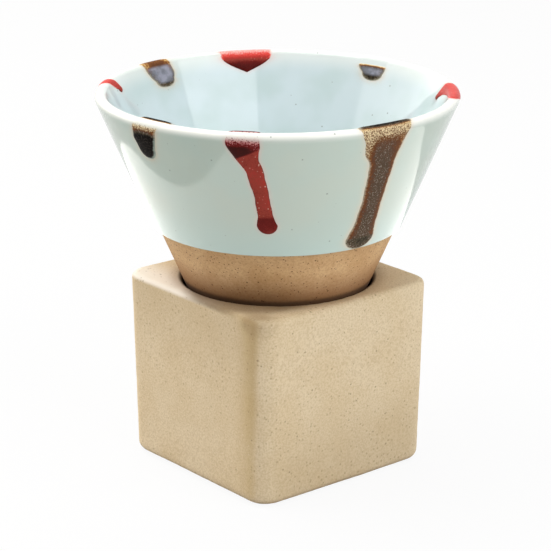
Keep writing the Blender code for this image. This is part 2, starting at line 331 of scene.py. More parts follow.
# Painted shade on the front top corner
to_corner = {0: place, 1: shaded_corner}
from_corner = add_node(tree, "ShaderNodeVectorMath", to_corner, operation="DISTANCE").outputs["Value"]
from_corner = calc(tree, "MULTIPLY_ADD", calc(tree, "SUBTRACT", patches, 0.5), 0.006, from_corner)
tone = blend_colours(tree, fade(tree, from_corner, 0.0008, 0.0060, 0.52, 0.0), tone, corner_shade_brown)
# Painted shade round the foot, where the stand meets the floor
tone = blend_colours(tree, fade(tree, height, 0.0003, 0.0020, 0.6, 0.0), tone, foot_shade_brown)

sand = specks_of(tree, place, 0.0010, 0.00020, 0.30)
tone = blend_colours(tree, calc(tree, "MULTIPLY", sand, 0.35), tone, sand_white)
pores = specks_of(tree, place, 0.0013, 0.00038, 0.65)
tone = blend_colours(tree, calc(tree, "MULTIPLY", pores, 0.36), tone, pore_brown)
iron = specks_of(tree, place, 0.0022, 0.00036, 0.40)
tone = blend_colours(tree, calc(tree, "MULTIPLY", iron, 0.46), tone, stand_iron)
tree.links.new(tone, shader.inputs["Base Color"])
grain_bump(tree, shader, grain, 0.00012)
stand.data.materials.clear()
stand.data.materials.append(stand_clay)
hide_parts("cube_stand")
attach(stand, "stand")

# Clay cup
# A cone of tan stoneware with iron specks, thrown and turned to a thin round lip. It is bare on its lower
# half, down to the flat foot with a shallow hollow under it, and stands loose in the mouth of the stand.

cup_low, cup_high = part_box("cup_body")
foot_height = cup_low.z
lip_height = cup_high.z
rim_radius = 0.04705
foot_radius = 0.0150
lip_wall = 0.0015
lip_fillet = 0.48 * lip_wall
floor_wall = 0.0040
floor_thickness = 0.0050
floor_fillet = 0.0080
foot_edge_radius = 0.0010
foot_recess = 0.0008
foot_ring = 0.0050
bare_band = 0.0392
cup_steps = 256
cup_sandiness = (0.0016, 0.00004)

cone_slope = (rim_radius - foot_radius) / (lip_height - foot_height)
cone_cosine = math.cos(math.atan(cone_slope))
floor_radius = foot_radius + cone_slope * floor_thickness - floor_wall / cone_cosine
inner_lip_radius = rim_radius - lip_wall / cone_cosine


def rounded(corners, steps):
    """Points along corners of (radius, height, fillet). The first and last corner stay sharp."""
    points = [np.array(corners[0][:2])]
    for before, here, after in zip(corners, corners[1:], corners[2:]):
        corner = np.array(here[:2])
        back = np.array(before[:2]) - corner
        ahead = np.array(after[:2]) - corner
        back = back / np.linalg.norm(back)
        ahead = ahead / np.linalg.norm(ahead)
        fillet = here[2]
        if fillet <= 0:
            points.append(corner)
            continue
        half_angle = math.acos(back @ ahead) / 2
        middle = (back + ahead) / np.linalg.norm(back + ahead)
        centre = corner + middle * fillet / math.sin(half_angle)
        reach = fillet / math.tan(half_angle)
        first = corner + back * reach - centre
        last = corner + ahead * reach - centre
        sweep = math.pi - 2 * half_angle
        for step in range(steps + 1):
            share = step / steps
            arm = first * math.sin((1 - share) * sweep) + last * math.sin(share * sweep)
            points.append(centre + arm / math.sin(sweep))
    points.append(np.array(corners[-1][:2]))
    return points


def moved_out(corners, distance):
    """The corners moved by distance to the right of the way they run, with concentric fillets."""
    places = [np.array(corner[:2]) for corner in corners]
    rights = []
    for start, end in zip(places, places[1:]):
        way = (end - start) / np.linalg.norm(end - start)
        rights.append(np.array((way[1], -way[0])))
    moved = []
    for index, (place_here, corner) in enumerate(zip(places, corners)):
        before = rights[max(index - 1, 0)]
        after = rights[min(index, len(rights) - 1)]
        shifted = place_here + (before + after) * distance / (1 + before @ after)
        turns_left = before[0] * after[1] - before[1] * after[0] > 0
        fillet = 0
        if corner[2]:
            fillet = corner[2] + (distance if turns_left else -distance)
        moved.append((shifted[0], shifted[1], fillet))
    return moved


def spaced(points, step):
    """The same line with points no further apart than step."""
    line = [points[0]]
    for start, end in zip(points, points[1:]):
        parts = max(1, math.ceil(np.linalg.norm(end - start) / step))
        for part in range(1, parts + 1):
            line.append(start + (end - start) * part / parts)
    return line


glazed_clay = [
    (foot_radius + cone_slope * bare_band, foot_height + bare_band, 0),
    (rim_radius, lip_height, lip_fillet),
    (inner_lip_radius, lip_height, lip_fillet),
    (floor_radius, foot_height + floor_thickness, floor_fillet),
    (0, foot_height + floor_thickness, 0),
]
clay_outline = list(reversed(glazed_clay))[:-1] + [
    (foot_radius, foot_height, foot_edge_radius),
    (foot_radius - foot_ring, foot_height, 0),
    (foot_radius - foot_ring - foot_recess, foot_height + foot_recess, 0),
    (0, foot_height + foot_recess, 0),
]
cup = turned("cup_looks", spaced(rounded(clay_outline, 8), 0.0012), cup_steps)
roughen(cup, *cup_sandiness)

tan = colour(192, 153, 106)
pale_tan = colour(206, 169, 123)
tan_grain = colour(158, 116, 72)
seat_shade_brown = colour(132, 90, 56)
seat_ring_shade_brown = colour(66, 44, 28)
fine_iron_brown = colour(100, 66, 38)
cup_iron = colour(66, 40, 24)

cup_clay, tree, shader, place = start_material("cup_clay_looks", 0.85)
shader.inputs["Specular IOR Level"].default_value = 0.3
height = add_node(tree, "ShaderNodeSeparateXYZ", {0: place}).outputs[2]
patches = clouds_of(tree, place, 0.007, 3.0)
grain = clouds_of(tree, place, 0.0006, 4.0)
tone = blend_colours(tree, fade(tree, patches, 0.3, 0.7), tan, pale_tan)
tone = blend_colours(tree, fade(tree, grain, 0.36, 0.66, 0.0, 0.35), tone, tan_grain)
# Painted shade: the clay darker towards the stand's mouth
seat = fade(tree, height, stand_height + 0.0006, stand_height + 0.0105, 0.75, 0.0)
tone = blend_colours(tree, seat, tone, seat_shade_brown)
# Painted shade: a dark ring where the cone meets the mouth's edge
seat_ring_shade = fade(tree, height, stand_height + 0.0002, stand_height + 0.0016, 0.7, 0.0)
above_ring = fade(tree, height, stand_height - 0.0030, stand_height - 0.0010)
tone = blend_colours(tree, calc(tree, "MULTIPLY", seat_ring_shade, above_ring), tone, seat_ring_shade_brown)
fine_iron = specks_of(tree, place, 0.0009, 0.00023, 0.80)
tone = blend_colours(tree, calc(tree, "MULTIPLY", fine_iron, 0.75), tone, fine_iron_brown)
iron = specks_of(tree, place, 0.0013, 0.00028, 0.75)
tone = blend_colours(tree, calc(tree, "MULTIPLY", iron, 0.8), tone, cup_iron)
tree.links.new(tone, shader.inputs["Base Color"])
grain_bump(tree, shader, grain, 0.00010)
cup.data.materials.append(cup_clay)
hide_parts("cup_body")
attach(cup, "cup")

# Pale glaze coat
# A glassy pale blue-green glaze that the cup was dipped in, over the inside, the lip and the upper outside.
# It runs thin over the lip, which is white from that and from painted highlight, pools above its rolled lower
# edge and has a few dark specks.

glaze_gap = 0.00002
glaze_face = 0.0008
glaze_roll = 0.0003
glaze_end_fillet = 0.00022
coat_columns = 448
coat_step = 0.0006
coat_deep_step = 0.0022
deep_wall_share = 0.2
coat_waviness = (0.016, 0.00010)

coat_face = moved_out(glazed_clay, glaze_face)
coat_face[0] = moved_out(glazed_clay, glaze_face + glaze_roll)[0]
coat_bed = moved_out(glazed_clay, glaze_gap)
face_line = np.array(spaced(rounded(coat_face, 14), coat_step))
crest = int(np.argmax(face_line[:, 1]))
face_steps = np.linalg.norm(np.diff(face_line, axis=0), axis=1)
face_fall = np.concatenate([[0], np.cumsum(face_steps)])
face_fall = face_fall[crest] - face_fall

wall_top = np.array(coat_face[2][:2])
wall_foot = np.array(coat_face[3][:2])
deep_corner = (*(wall_top + (wall_foot - wall_top) * deep_wall_share), 0)
deep_part = rounded([coat_face[4], coat_face[3], deep_corner], 10)
shown_part = rounded(
    [
        deep_corner,
        coat_face[2],
        coat_face[1],
        (*coat_face[0][:2], glaze_end_fillet),
        (*coat_bed[0][:2], glaze_end_fillet),
        coat_bed[1],
    ],
    14,
)
bed_part = rounded(coat_bed, 6)
shown_points = spaced(shown_part[:-1], coat_step)
coat_points = spaced(deep_part, coat_deep_step) + shown_points[1:] + bed_part[1:]
coat = turned("glaze_coat_looks", coat_points, coat_columns)


def coat_places(piece):
    """Azimuth, radius and fall of each vertex.

    The fall is how far it lies from the lip's crest along the face: positive outside and negative inside.
    """
    places = np.empty(len(piece.data.vertices) * 3)
    piece.data.vertices.foreach_get("co", places)
    places = places.reshape(-1, 3)
    radius = np.hypot(places[:, 0], places[:, 1])
    fall = np.empty(len(places))
    for start in range(0, len(places), 8192):
        part = slice(start, start + 8192)
        apart = np.hypot(radius[part, None] - face_line[:, 0], places[part, 2, None] - face_line[:, 1])
        fall[part] = face_fall[np.argmin(apart, axis=1)]
    return np.arctan2(places[:, 1], places[:, 0]), radius, fall


def keep_values(piece, name, values):
    """Keeps one number for each vertex, which the piece's material reads by name."""
    attribute = piece.data.attributes.new(name, "FLOAT", "POINT")
    attribute.data.foreach_set("value", np.asarray(values, np.float32))


coat_azimuth, coat_radius, coat_fall = coat_places(coat)
keep_values(coat, "fall", coat_fall)
roughen(coat, *coat_waviness)


def kept(tree, name):
    """The number that keep_values kept under a name."""
    return add_node(tree, "ShaderNodeAttribute", {}, attribute_name=name).outputs["Fac"]


inside_tone = colour(202, 215, 218)
outside_tone = colour(180, 193, 181)
thin_and_highlight_white = colour(243, 242, 234)
cloudy_green = colour(172, 194, 186)
pool_blue = colour(172, 198, 192)
floor_blue = colour(150, 184, 190)
brown_bleed_tone = colour(214, 184, 150)
red_bleed_tone = colour(222, 178, 168)
dust_grey = colour(116, 122, 114)


def coat_tone(tree, fall):
    """The pale glaze's tone, lighter and bluer inside than outside; the outside's darker tone is partly its
    own and partly painted shade.
    """
    return blend_colours(tree, fade(tree, fall, -0.003, 0.004), inside_tone, outside_tone)


def thinned_and_highlighted(tree, fall, tone):
    """The pale glaze's tone, white over the lip where it runs thin, with painted highlight on the lip and
    inside below it.
    """
    # Painted highlight reaching down inside below the lip
    painted_highlight_inside = fade(tree, fall, -0.0070, -0.0012, 0.0, 0.5)
    thin_inside = fade(tree, fall, -0.0008, 0.0006, painted_highlight_inside, 0.9)
    thin = calc(tree, "MULTIPLY", thin_inside, fade(tree, fall, 0.0012, 0.0034, 1.0, 0.0))
    return blend_colours(tree, thin, tone, thin_and_highlight_white)


pale_glaze, tree, shader, place = start_material("pale_glaze_looks", 0.07)
shader.inputs["Specular IOR Level"].default_value = 0.42
fall = kept(tree, "fall")
red_stain = kept(tree, "red_stain")
brown_stain = kept(tree, "brown_stain")
patches = clouds_of(tree, place, 0.012, 2.0)
tone = coat_tone(tree, fall)
tone = blend_colours(tree, fade(tree, patches, 0.35, 0.7, 0.0, 0.35), tone, cloudy_green)
tone = blend_colours(tree, fade(tree, fall, 0.026, 0.0385, 0.0, 0.6), tone, pool_blue)
# Bluer on the cup's floor: glaze pooled there, partly painted shade deep in the cup
tone = blend_colours(tree, fade(tree, fall, -0.046, -0.074, 0.0, 0.6), tone, floor_blue)
tone = thinned_and_highlighted(tree, fall, tone)
brown_noise = clouds_of(tree, place, 0.0007, 3.0)
warm = calc(tree, "MULTIPLY", brown_stain, fade(tree, brown_noise, 0.3, 0.6, 0.3, 0.6))
tone = blend_colours(tree, warm, tone, brown_bleed_tone)
tone = blend_colours(tree, calc(tree, "MULTIPLY", red_stain, 0.5), tone, red_bleed_tone)
dust = specks_of(tree, place, 0.0027, 0.00031, 0.55)
tone = blend_colours(tree, calc(tree, "MULTIPLY", dust, 0.6), tone, dust_grey)
tree.links.new(tone, shader.inputs["Base Color"])
coat.data.materials.append(pale_glaze)
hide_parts("glaze_coat")
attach(coat, "cup")

# Runs of coloured glaze
# Eight runs of red and brown-black glaze, brushed on over the lip so that they flowed down both sides of it
# in the kiln. Each is thin on the lip, pools under it, narrows to a stem and ends in a thick round bead.

mm = 0.001
run_height = 0.00034
run_sink = 0.00010
run_shell = 0.00016
run_step = 0.00026
run_columns = 28
run_smoothing = 1.6
edge_sway = 0.06
widest_edge = 4.0
brown_fringe = 0.28
red_bleed = 0.35
brown_bleed = 0.6

face_order = np.argsort(face_fall)
sorted_fall = face_fall[face_order]
sorted_line = face_line[face_order]


def on_face(fall_here):
    """Radius, height and outward direction of the coat's face at a fall from the crest."""

    def place_at(fall):
        return np.array([np.interp(fall, sorted_fall, sorted_line[:, axis]) for axis in (0, 1)])

    radius, height = place_at(fall_here)
    along_radius, along_height = place_at(fall_here + 0.0002) - place_at(fall_here - 0.0002)
    length = np.hypot(along_radius, along_height)
    return radius, height, -along_height / length, along_radius / length


def smooth_line(values):
    """Rounds the bends of a line of values that were taken every tenth of a millimetre."""
    reach = int(run_smoothing * 10)
    window = np.hanning(2 * reach + 3)[1:-1]
    padded = np.pad(values, reach, mode="reflect", reflect_type="odd")
    return np.convolve(padded, window / window.sum(), mode="valid")


def run_edges(rows):
    """Fall, left and right edge every tenth of a millimetre, in mm, from rows of (fall, left, right)."""
    rows = np.array(rows)
    fall_here = np.arange(rows[0, 0], rows[-1, 0] + 0.05, 0.1)
    left = smooth_line(np.interp(fall_here, rows[:, 0], rows[:, 1]))
    right = smooth_line(np.interp(fall_here, rows[:, 0], rows[:, 2]))
    sway = np.sin(fall_here * 0.9 + rows[0, 1]) + 0.5 * np.sin(fall_here * 2.3 + rows[0, 2])
    return fall_here, left + edge_sway * sway, right - edge_sway * np.roll(sway, 17)


def stain_coat(name, reach, azimuth, rows, tip_in, tip_out, thickness, bluntness):
    """Marks the pale glaze next to a run, where the colour bled into it."""
    fall_here, left, right = run_edges(rows)
    across = (coat_azimuth - math.radians(azimuth) + math.pi) % (2 * math.pi) - math.pi
    across = across * coat_radius / mm
    down = coat_fall / mm
    middle = np.clip(down, fall_here[0], fall_here[-1])
    left_here = np.interp(middle, fall_here, left)
    right_here = np.interp(middle, fall_here, right)
    half = (right_here - left_here) / 2
    off_middle = np.abs(across - (left_here + right_here) / 2)
    past_in = (fall_here[0] - down) / tip_in
    past_out = (down - fall_here[-1]) / tip_out
    beyond = np.where(down < fall_here[0], past_in, past_out)
    past_end = np.sqrt((off_middle / half) ** (1 / bluntness) + np.maximum(beyond, 0) ** 2) - 1
    end_reach = np.minimum(half, np.where(down < 0, tip_in, tip_out))
    apart = np.where(beyond > 0, past_end * end_reach, off_middle - half)
    depth_here = thickness(down, np.clip(across, left_here, right_here))
    bled = np.exp(-np.maximum(apart, 0) / reach) * np.minimum(2 * depth_here, 1)
    stains[name] = np.maximum(stains[name], bled)


def step_up(value, start, end):
    share = np.clip((value - start) / (end - start), 0, 1)
    return share * share * (3 - 2 * share)


def zone(value, start, end):
    """1 between start and end, with a soft millimetre at both ends."""
    return step_up(value, start, start + 1) * step_up(-value, -end, 1 - end)


def lay_run(
    node, glaze, azimuth, rows, tip_in, tip_out, thickness,
    painted_sheen=(0, 0), spatter=(0, 0), bluntness=0.5,
):
    """A run from rows of (fall, left edge, right edge) in mm, with round ends, domed and sunk into the coat.

    thickness(fall, across) is how thick the glaze lies, from 0 to 1 or more. painted_sheen gives two depths
    inside the lip between which a grey painted sheen, standing in for reflection, clouds it, and spatter two
    falls between which it lies in drops. With a bluntness of 0.5 its ends are half ellipses, and with more
    they are more pointed.
    """
    fringe = brown_fringe if glaze is brown_glaze else 0
    rows = [(fall, left - fringe, right + fringe) for fall, left, right in rows]
    fall_here, left, right = run_edges(rows)
    tip_in = tip_in + fringe
    tip_out = tip_out + fringe
    quarter = np.linspace(0, math.pi / 2, 14)
    middle_count = int((fall_here[-1] - fall_here[0]) * mm / run_step)
    middle_rows = np.linspace(fall_here[0], fall_here[-1], middle_count)
    row_fall = np.concatenate(
        [
            fall_here[0] - tip_in * np.cos(quarter[:-1]),
            middle_rows,
            fall_here[-1] + tip_out * np.sin(quarter[1:]),
        ]
    )
    row_end = np.concatenate([np.cos(quarter[:-1]), 0 * middle_rows, np.sin(quarter[1:])])
    row_left = np.interp(row_fall, fall_here, left)
    row_right = np.interp(row_fall, fall_here, right)
    bpy.ops.object.select_all(action="DESELECT")
    bpy.ops.mesh.primitive_grid_add(x_subdivisions=run_columns, y_subdivisions=len(row_fall) - 1, size=2)
    run = bpy.context.object
    run.name = f"{node}_looks"
    flat = np.empty(len(run.data.vertices) * 3)
    run.data.vertices.foreach_get("co", flat)
    flat = flat.reshape(-1, 3)
    row = np.rint((flat[:, 1] + 1) / 2 * (len(row_fall) - 1)).astype(int)
    share = flat[:, 0]
    end = row_end[row]
    half = (row_right - row_left)[row] / 2 * np.maximum(1 - end**2, 0) ** bluntness
    across = (row_left + row_right)[row] / 2 + share * half
    rim = np.sqrt(np.minimum(end**2 + (1 - end**2) * share**2, 1))
    to_edge = (1 - rim) * np.minimum((row_right - row_left)[row] / 2, widest_edge)
    thick = thickness(row_fall[row], across)
    dome = np.sqrt(np.maximum(1 - rim**4, 0))
    lift = (run_height * (0.25 + 0.75 * thick) + run_sink) * dome - run_sink
    radius, height, out_radius, out_height = on_face(row_fall[row] * mm)
    angle = math.radians(azimuth) + across * mm / radius
    places = np.stack(
        [
            (radius + out_radius * lift) * np.cos(angle),
            (radius + out_radius * lift) * np.sin(angle),
            height + out_height * lift,
        ],
        axis=1,
    )
    run.data.vertices.foreach_set("co", places.ravel())
    keep_values(run, "fall", row_fall[row] * mm)
    keep_values(run, "thick", thick)
    keep_values(run, "to_edge", to_edge)
    keep_values(run, "painted_sheen", zone(-row_fall[row], *painted_sheen))
    keep_values(run, "spatter", zone(row_fall[row], *spatter))
    run.data.update()
    select_only(run)
    bpy.ops.object.mode_set(mode="EDIT")
    bpy.ops.mesh.select_all(action="SELECT")
    bpy.ops.mesh.remove_doubles(threshold=0.000002)
    bpy.ops.mesh.normals_make_consistent(inside=False)
    bpy.ops.object.mode_set(mode="OBJECT")
    top = run.data.polygons[len(run.data.polygons) // 2]
    outward = top.normal.x * top.center.x + top.normal.y * top.center.y
    if (outward < 0) == (row_fall[len(row_fall) // 2] > 2):
        run.data.flip_normals()
    apply_modifier(run, "SOLIDIFY", thickness=run_shell, offset=-1)
    bpy.ops.object.shade_smooth()
    run.data.materials.append(glaze)
    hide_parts(node)
    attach(run, "cup")
    stain, bleed = ("red_stain", red_bleed) if glaze is red_glaze else ("brown_stain", brown_bleed)
    stain_coat(stain, bleed, azimuth, rows, tip_in, tip_out, thickness, bluntness)


def flow(
    lip, inside, deep, pool, stem, bead, pool_end, bead_start,
    inner_edge=(0.7, 1.7), depth=(2.0, 5.0), lip_end=(1.8, 4.6),
    pool_slant=0.0, pool_blur=0.3, thin_left=0.0, thin_right=0.0,
):
    """How thick a run lies: on the lip, inside it, deep inside, in the pool, on the stem and in the bead.

    inner_edge is where it thickens inside the lip, depth where it gets to its deep thickness and lip_end
    where the pool starts. The pool ends at a fall from the crest, along a slanting line, and thins to one
    side or the other by thin_left and thin_right.
    """

    def thickness(fall_here, across):
        inner = lip + (inside - lip) * step_up(-fall_here, *inner_edge)
        inner = inner + (deep - inside) * step_up(-fall_here, *depth)
        past_pool = step_up(fall_here - pool_slant * across, pool_end - pool_blur, pool_end + pool_blur)
        pool_here = pool - thin_right * step_up(across, 0.0, 4.0)
        outer = pool_here + (stem - pool_here) * past_pool
        outer = outer + (bead - outer) * step_up(fall_here, bead_start - 0.5, bead_start + 0.5)
        left_side = step_up(-across, 1.8, 4.4) * step_up(-fall_here, -13.0, -9.0)
        outer = outer * (1 - thin_left * left_side)
        below_lip = step_up(fall_here, *lip_end)
        return inner * (1 - below_lip) + outer * below_lip

    return thickness


def ramp_of(tree, value, stops):
    """Colours along a value from 0 to 1."""
    node = add_node(tree, "ShaderNodeValToRGB", {0: value})
    node.color_ramp.elements[0].position = stops[0][0]
    node.color_ramp.elements[0].color = stops[0][1]
    node.color_ramp.elements[1].position = stops[-1][0]
    node.color_ramp.elements[1].color = stops[-1][1]
    for position, tint in stops[1:-1]:
        node.color_ramp.elements.new(position).color = tint
    return node.outputs[0]


lip_white = colour(242, 240, 233)
crimson = colour(104, 24, 25)
blush_pink = colour(196, 122, 122)
edge_maroon = colour(76, 24, 19)
pinhole_pink = colour(226, 186, 168)
red_by_thickness = (
    (0.00, lip_white),
    (0.10, colour(236, 208, 200)),
    (0.24, colour(224, 76, 68)),
    (0.42, colour(176, 52, 46)),
    (0.57, colour(146, 58, 47)),
    (0.76, colour(104, 24, 20)),
    (0.98, colour(58, 15, 12)),
)

red_glaze, tree, shader, place = start_material("red_glaze_looks", 0.25)
shader.inputs["Specular IOR Level"].default_value = 0.03
fall = kept(tree, "fall")
thick = kept(tree, "thick")
to_edge = kept(tree, "to_edge")
spatter = kept(tree, "spatter")
under = thinned_and_highlighted(tree, fall, coat_tone(tree, fall))
mottle = clouds_of(tree, place, 0.00036, 3.0)
mottle_swing = calc(tree, "SUBTRACT", mottle, 0.5)
broad = clouds_of(tree, place, 0.0040, 2.0)
broad_swing = calc(tree, "SUBTRACT", broad, 0.5)
uneven = calc(tree, "MULTIPLY", mottle_swing, fade(tree, thick, 0.0, 0.2, 0.0, 0.28))
uneven = calc(tree, "MULTIPLY_ADD", broad_swing, fade(tree, thick, 0.3, 0.5, 0.0, 0.3), uneven)
feather = fade(tree, to_edge, 0.0, 0.7, 0.2, 1.0)
feather = calc(tree, "MAXIMUM", feather, fade(tree, thick, 0.40, 0.55))
body = calc(tree, "MULTIPLY", calc(tree, "ADD", thick, uneven), feather)
tone = ramp_of(tree, body, red_by_thickness)
drops = calc(tree, "MULTIPLY_ADD", mottle_swing, 2.0, thick)
blush = blend_colours(tree, fade(tree, thick, 0.0, 0.6), under, blush_pink)
dotted = blend_colours(tree, fade(tree, drops, 0.36, 0.70), blush, crimson)
in_drops = calc(tree, "MULTIPLY", spatter, fade(tree, thick, 0.75, 1.0, 1.0, 0.0))
tone = blend_colours(tree, in_drops, tone, dotted)
tone = blend_colours(tree, fade(tree, body, 0.0, 0.12, 1.0, 0.0), tone, under)
line = fade(tree, to_edge, 0.10, 0.36, 1.0, 0.0)
drawn = calc(tree, "MULTIPLY", line, fade(tree, thick, 0.4, 0.55, 0.0, 0.7))
tone = blend_colours(tree, drawn, tone, edge_maroon)
pinholes = specks_of(tree, place, 0.0008, 0.00025, 0.60)
near_edge = fade(tree, to_edge, 0.15, 1.5, 0.85, 0.22)
near_edge = calc(tree, "MULTIPLY", near_edge, fade(tree, thick, 0.60, 0.72, 1.0, 0.0))
tone = blend_colours(tree, calc(tree, "MULTIPLY", pinholes, near_edge), tone, pinhole_pink)
tree.links.new(tone, shader.inputs["Base Color"])

drop_brown = colour(104, 62, 34)
drop_cream = colour(232, 212, 170)
salt_grey = colour(146, 134, 120)
dark_lilac = colour(126, 128, 138)
pale_lilac = colour(160, 160, 174)
rind_grey = colour(186, 178, 156)
brown_by_thickness = (
    (0.00, lip_white),
    (0.08, colour(232, 216, 180)),
    (0.17, colour(204, 166, 108)),
    (0.27, colour(140, 92, 50)),
    (0.38, colour(106, 66, 42)),
    (0.52, colour(94, 62, 44)),
    (0.64, colour(86, 67, 54)),
    (0.84, colour(72, 64, 50)),
    (1.00, colour(14, 10, 8)),
)

brown_glaze, tree, shader, place = start_material("brown_glaze_looks", 0.35)
shader.inputs["Specular IOR Level"].default_value = 0.01
fall = kept(tree, "fall")
thick = kept(tree, "thick")
to_edge = kept(tree, "to_edge")
painted_sheen = kept(tree, "painted_sheen")
spatter = kept(tree, "spatter")
under = thinned_and_highlighted(tree, fall, coat_tone(tree, fall))
mottle = clouds_of(tree, place, 0.0006, 3.0)
mottle_swing = calc(tree, "SUBTRACT", mottle, 0.5)
ragged = calc(tree, "MULTIPLY", mottle_swing, 1.8)
ragged_edge = calc(tree, "ADD", to_edge, ragged)
rusty = fade(tree, thick, 0.74, 0.88, 0.50, 0.80)
inward = fade(tree, ragged_edge, 0.2, 2.8, rusty, 1.0)
uneven = calc(tree, "MULTIPLY", mottle_swing, fade(tree, thick, 0.0, 0.16, 0.0, 0.36))
body = calc(tree, "ADD", calc(tree, "MULTIPLY", thick, inward), uneven)
tone = ramp_of(tree, body, brown_by_thickness)
fine = clouds_of(tree, place, 0.00034, 3.0)
drops = calc(tree, "MULTIPLY_ADD", calc(tree, "SUBTRACT", fine, 0.5), 1.3, thick)
cream = blend_colours(tree, fade(tree, thick, 0.0, 0.24), under, drop_cream)
dotted = blend_colours(tree, fade(tree, drops, 0.06, 0.52), cream, drop_brown)
in_drops = calc(tree, "MULTIPLY", spatter, fade(tree, thick, 0.36, 0.66, 1.0, 0.0))
tone = blend_colours(tree, in_drops, tone, dotted)
tone = blend_colours(tree, fade(tree, thick, 0.0, 0.10, 1.0, 0.0), tone, under)
crystals = clouds_of(tree, place, 0.00034, 2.0)
salt = calc(tree, "MULTIPLY", fade(tree, crystals, 0.53, 0.68), fade(tree, body, 0.50, 0.64, 0.0, 0.8))
salt = calc(tree, "MULTIPLY", salt, fade(tree, body, 0.76, 0.92, 1.0, 0.2))
tone = blend_colours(tree, salt, tone, salt_grey)
# Painted sheen: a grey-lilac veil inside the lip that stands in for the glaze's reflection
sheen_share = calc(tree, "MULTIPLY", painted_sheen, fade(tree, ragged_edge, -0.2, 2.0, 0.0, 0.85))
drift = clouds_of(tree, place, 0.0022, 2.0)
sheen_tone = blend_colours(tree, fade(tree, drift, 0.35, 0.65), dark_lilac, pale_lilac)
tone = blend_colours(tree, sheen_share, tone, sheen_tone)
rind = fade(tree, calc(tree, "MULTIPLY_ADD", ragged, 0.5, to_edge), 0.05, 0.75, 1.0, 0.0)
rind = calc(tree, "MULTIPLY", rind, fade(tree, thick, 0.3, 0.5, 0.0, 0.75))
rind_tone = blend_colours(tree, fade(tree, thick, 1.0, 1.3), rind_grey, under)
tone = blend_colours(tree, rind, tone, rind_tone)
tree.links.new(tone, shader.inputs["Base Color"])

stains = {"red_stain": 0 * coat_fall, "brown_stain": 0 * coat_fall}
lay_run(
    "brown_run_left", brown_glaze, -175.1, tip_in=1.3, tip_out=3.1, spatter=(1.0, 7.0),
    thickness=flow(0.0, 2.0, 2.0, 1.5, 1.5, 1.5, 6.0, 8.0, inner_edge=(0.3, 0.6), lip_end=(1.2, 6.8)),
    rows=((-1.2, -1.8, 9.0), (1.0, -2.6, 7.0), (2.8, -3.4, 4.9), (6.2, -4.4, 3.5), (9.0, -3.6, 2.1)),
)
# Its stem is lighter than its pool below a slanting line: partly thinner glaze, partly painted reflection
lay_run(
    "red_run_front_left", red_glaze, -140.0, tip_in=1.2, tip_out=2.9, spatter=(-4.0, 5.6),
    thickness=flow(
        0.05, 0.9, 0.9, 1.0, 0.56, 0.76, 7.0, 26.4, inner_edge=(-0.3, 0.2), lip_end=(0.9, 5.0),
        pool_slant=-0.49, thin_right=0.22,
    ),
    rows=(
        (-1.0, -3.4, 4.2), (1.0, -4.2, 4.5), (4.2, -4.6, 4.4), (8.2, -2.2, 3.7), (11.8, 0.0, 4.7),
        (19.8, 1.6, 5.5), (26.0, 2.0, 5.9), (29.0, 1.5, 6.9),
    ),
)
lay_run(
    "brown_run_front", brown_glaze, -95.1, tip_in=1.4, tip_out=3.3, spatter=(0.6, 11.0),
    thickness=flow(
        0.25, 1.0, 1.0, 0.60, 0.70, 0.88, 9.0, 35.2, inner_edge=(-1.0, -0.5), lip_end=(1.0, 6.4),
        pool_blur=4.0, thin_left=0.4,
    ),
    rows=(
        (-1.2, -6.8, 9.4), (0.5, -7.6, 8.8), (3.0, -6.8, 7.6), (5.0, -5.4, 6.8), (9.0, -4.6, 5.8),
        (11.4, -2.3, 5.4), (23.9, -1.1, 5.2), (31.0, -1.4, 5.4), (35.6, -2.6, 6.1),
    ),
)
lay_run(
    "red_run_front_right", red_glaze, -40.0, tip_in=0.9, tip_out=2.4,
    thickness=flow(0.33, 0.36, 0.62, 0.85, 0.55, 0.76, 7.0, 20.4, depth=(3.0, 6.0), pool_slant=0.2),
    rows=(
        (-5.4, 7.0, 9.2), (-3.6, 4.4, 8.7), (-2.5, -2.0, 8.2), (-1.5, -9.4, 7.8), (0.2, -12.4, 7.2),
        (1.4, -10.0, 6.6), (2.6, -4.0, 6.2), (4.5, -2.2, 5.4), (8.5, 0.2, 4.4), (13.0, 0.6, 4.2),
        (20.0, 0.2, 3.9), (22.6, -0.3, 4.2),
    ),
)
# Its glaze starts only inside the lip, so the lip above it stays white: partly a bare lip, partly painted
# highlight
lay_run(
    "brown_run_right", brown_glaze, 12.8, tip_in=1.9, tip_out=3.0, painted_sheen=(3.4, 6.2), spatter=(0.6, 6.4),
    thickness=flow(
        0.0, 0.9, 1.0, 0.75, 0.70, 0.88, 8.0, 28.5, inner_edge=(2.8, 4.0), depth=(4.6, 6.0),
        lip_end=(0.6, 7.0), pool_blur=3.0,
    ),
    rows=(
        (-5.2, -3.0, 3.3), (-4.2, -3.6, 4.8), (-2.0, -4.2, 5.2), (1.0, -4.8, 4.8),
        (4.0, -4.4, 4.4), (10.0, -2.8, 2.9), (24.0, -2.2, 3.0), (30.0, -2.8, 3.8),
    ),
)
lay_run(
    "red_run_back_right", red_glaze, 61.5, tip_in=5.7, tip_out=2.7, bluntness=1.15,
    thickness=flow(0.17, 0.21, 0.86, 1.0, 0.56, 0.76, 8.0, 30.4, depth=(1.2, 5.0)),
    rows=(
        (-1.2, -7.6, 8.2), (0.0, -8.0, 9.2), (3.0, -7.6, 8.4),
        (8.0, -4.2, 4.4), (13.0, -2.4, 2.4), (29.5, -2.8, 1.8), (32.6, -3.4, 2.0),
    ),
)
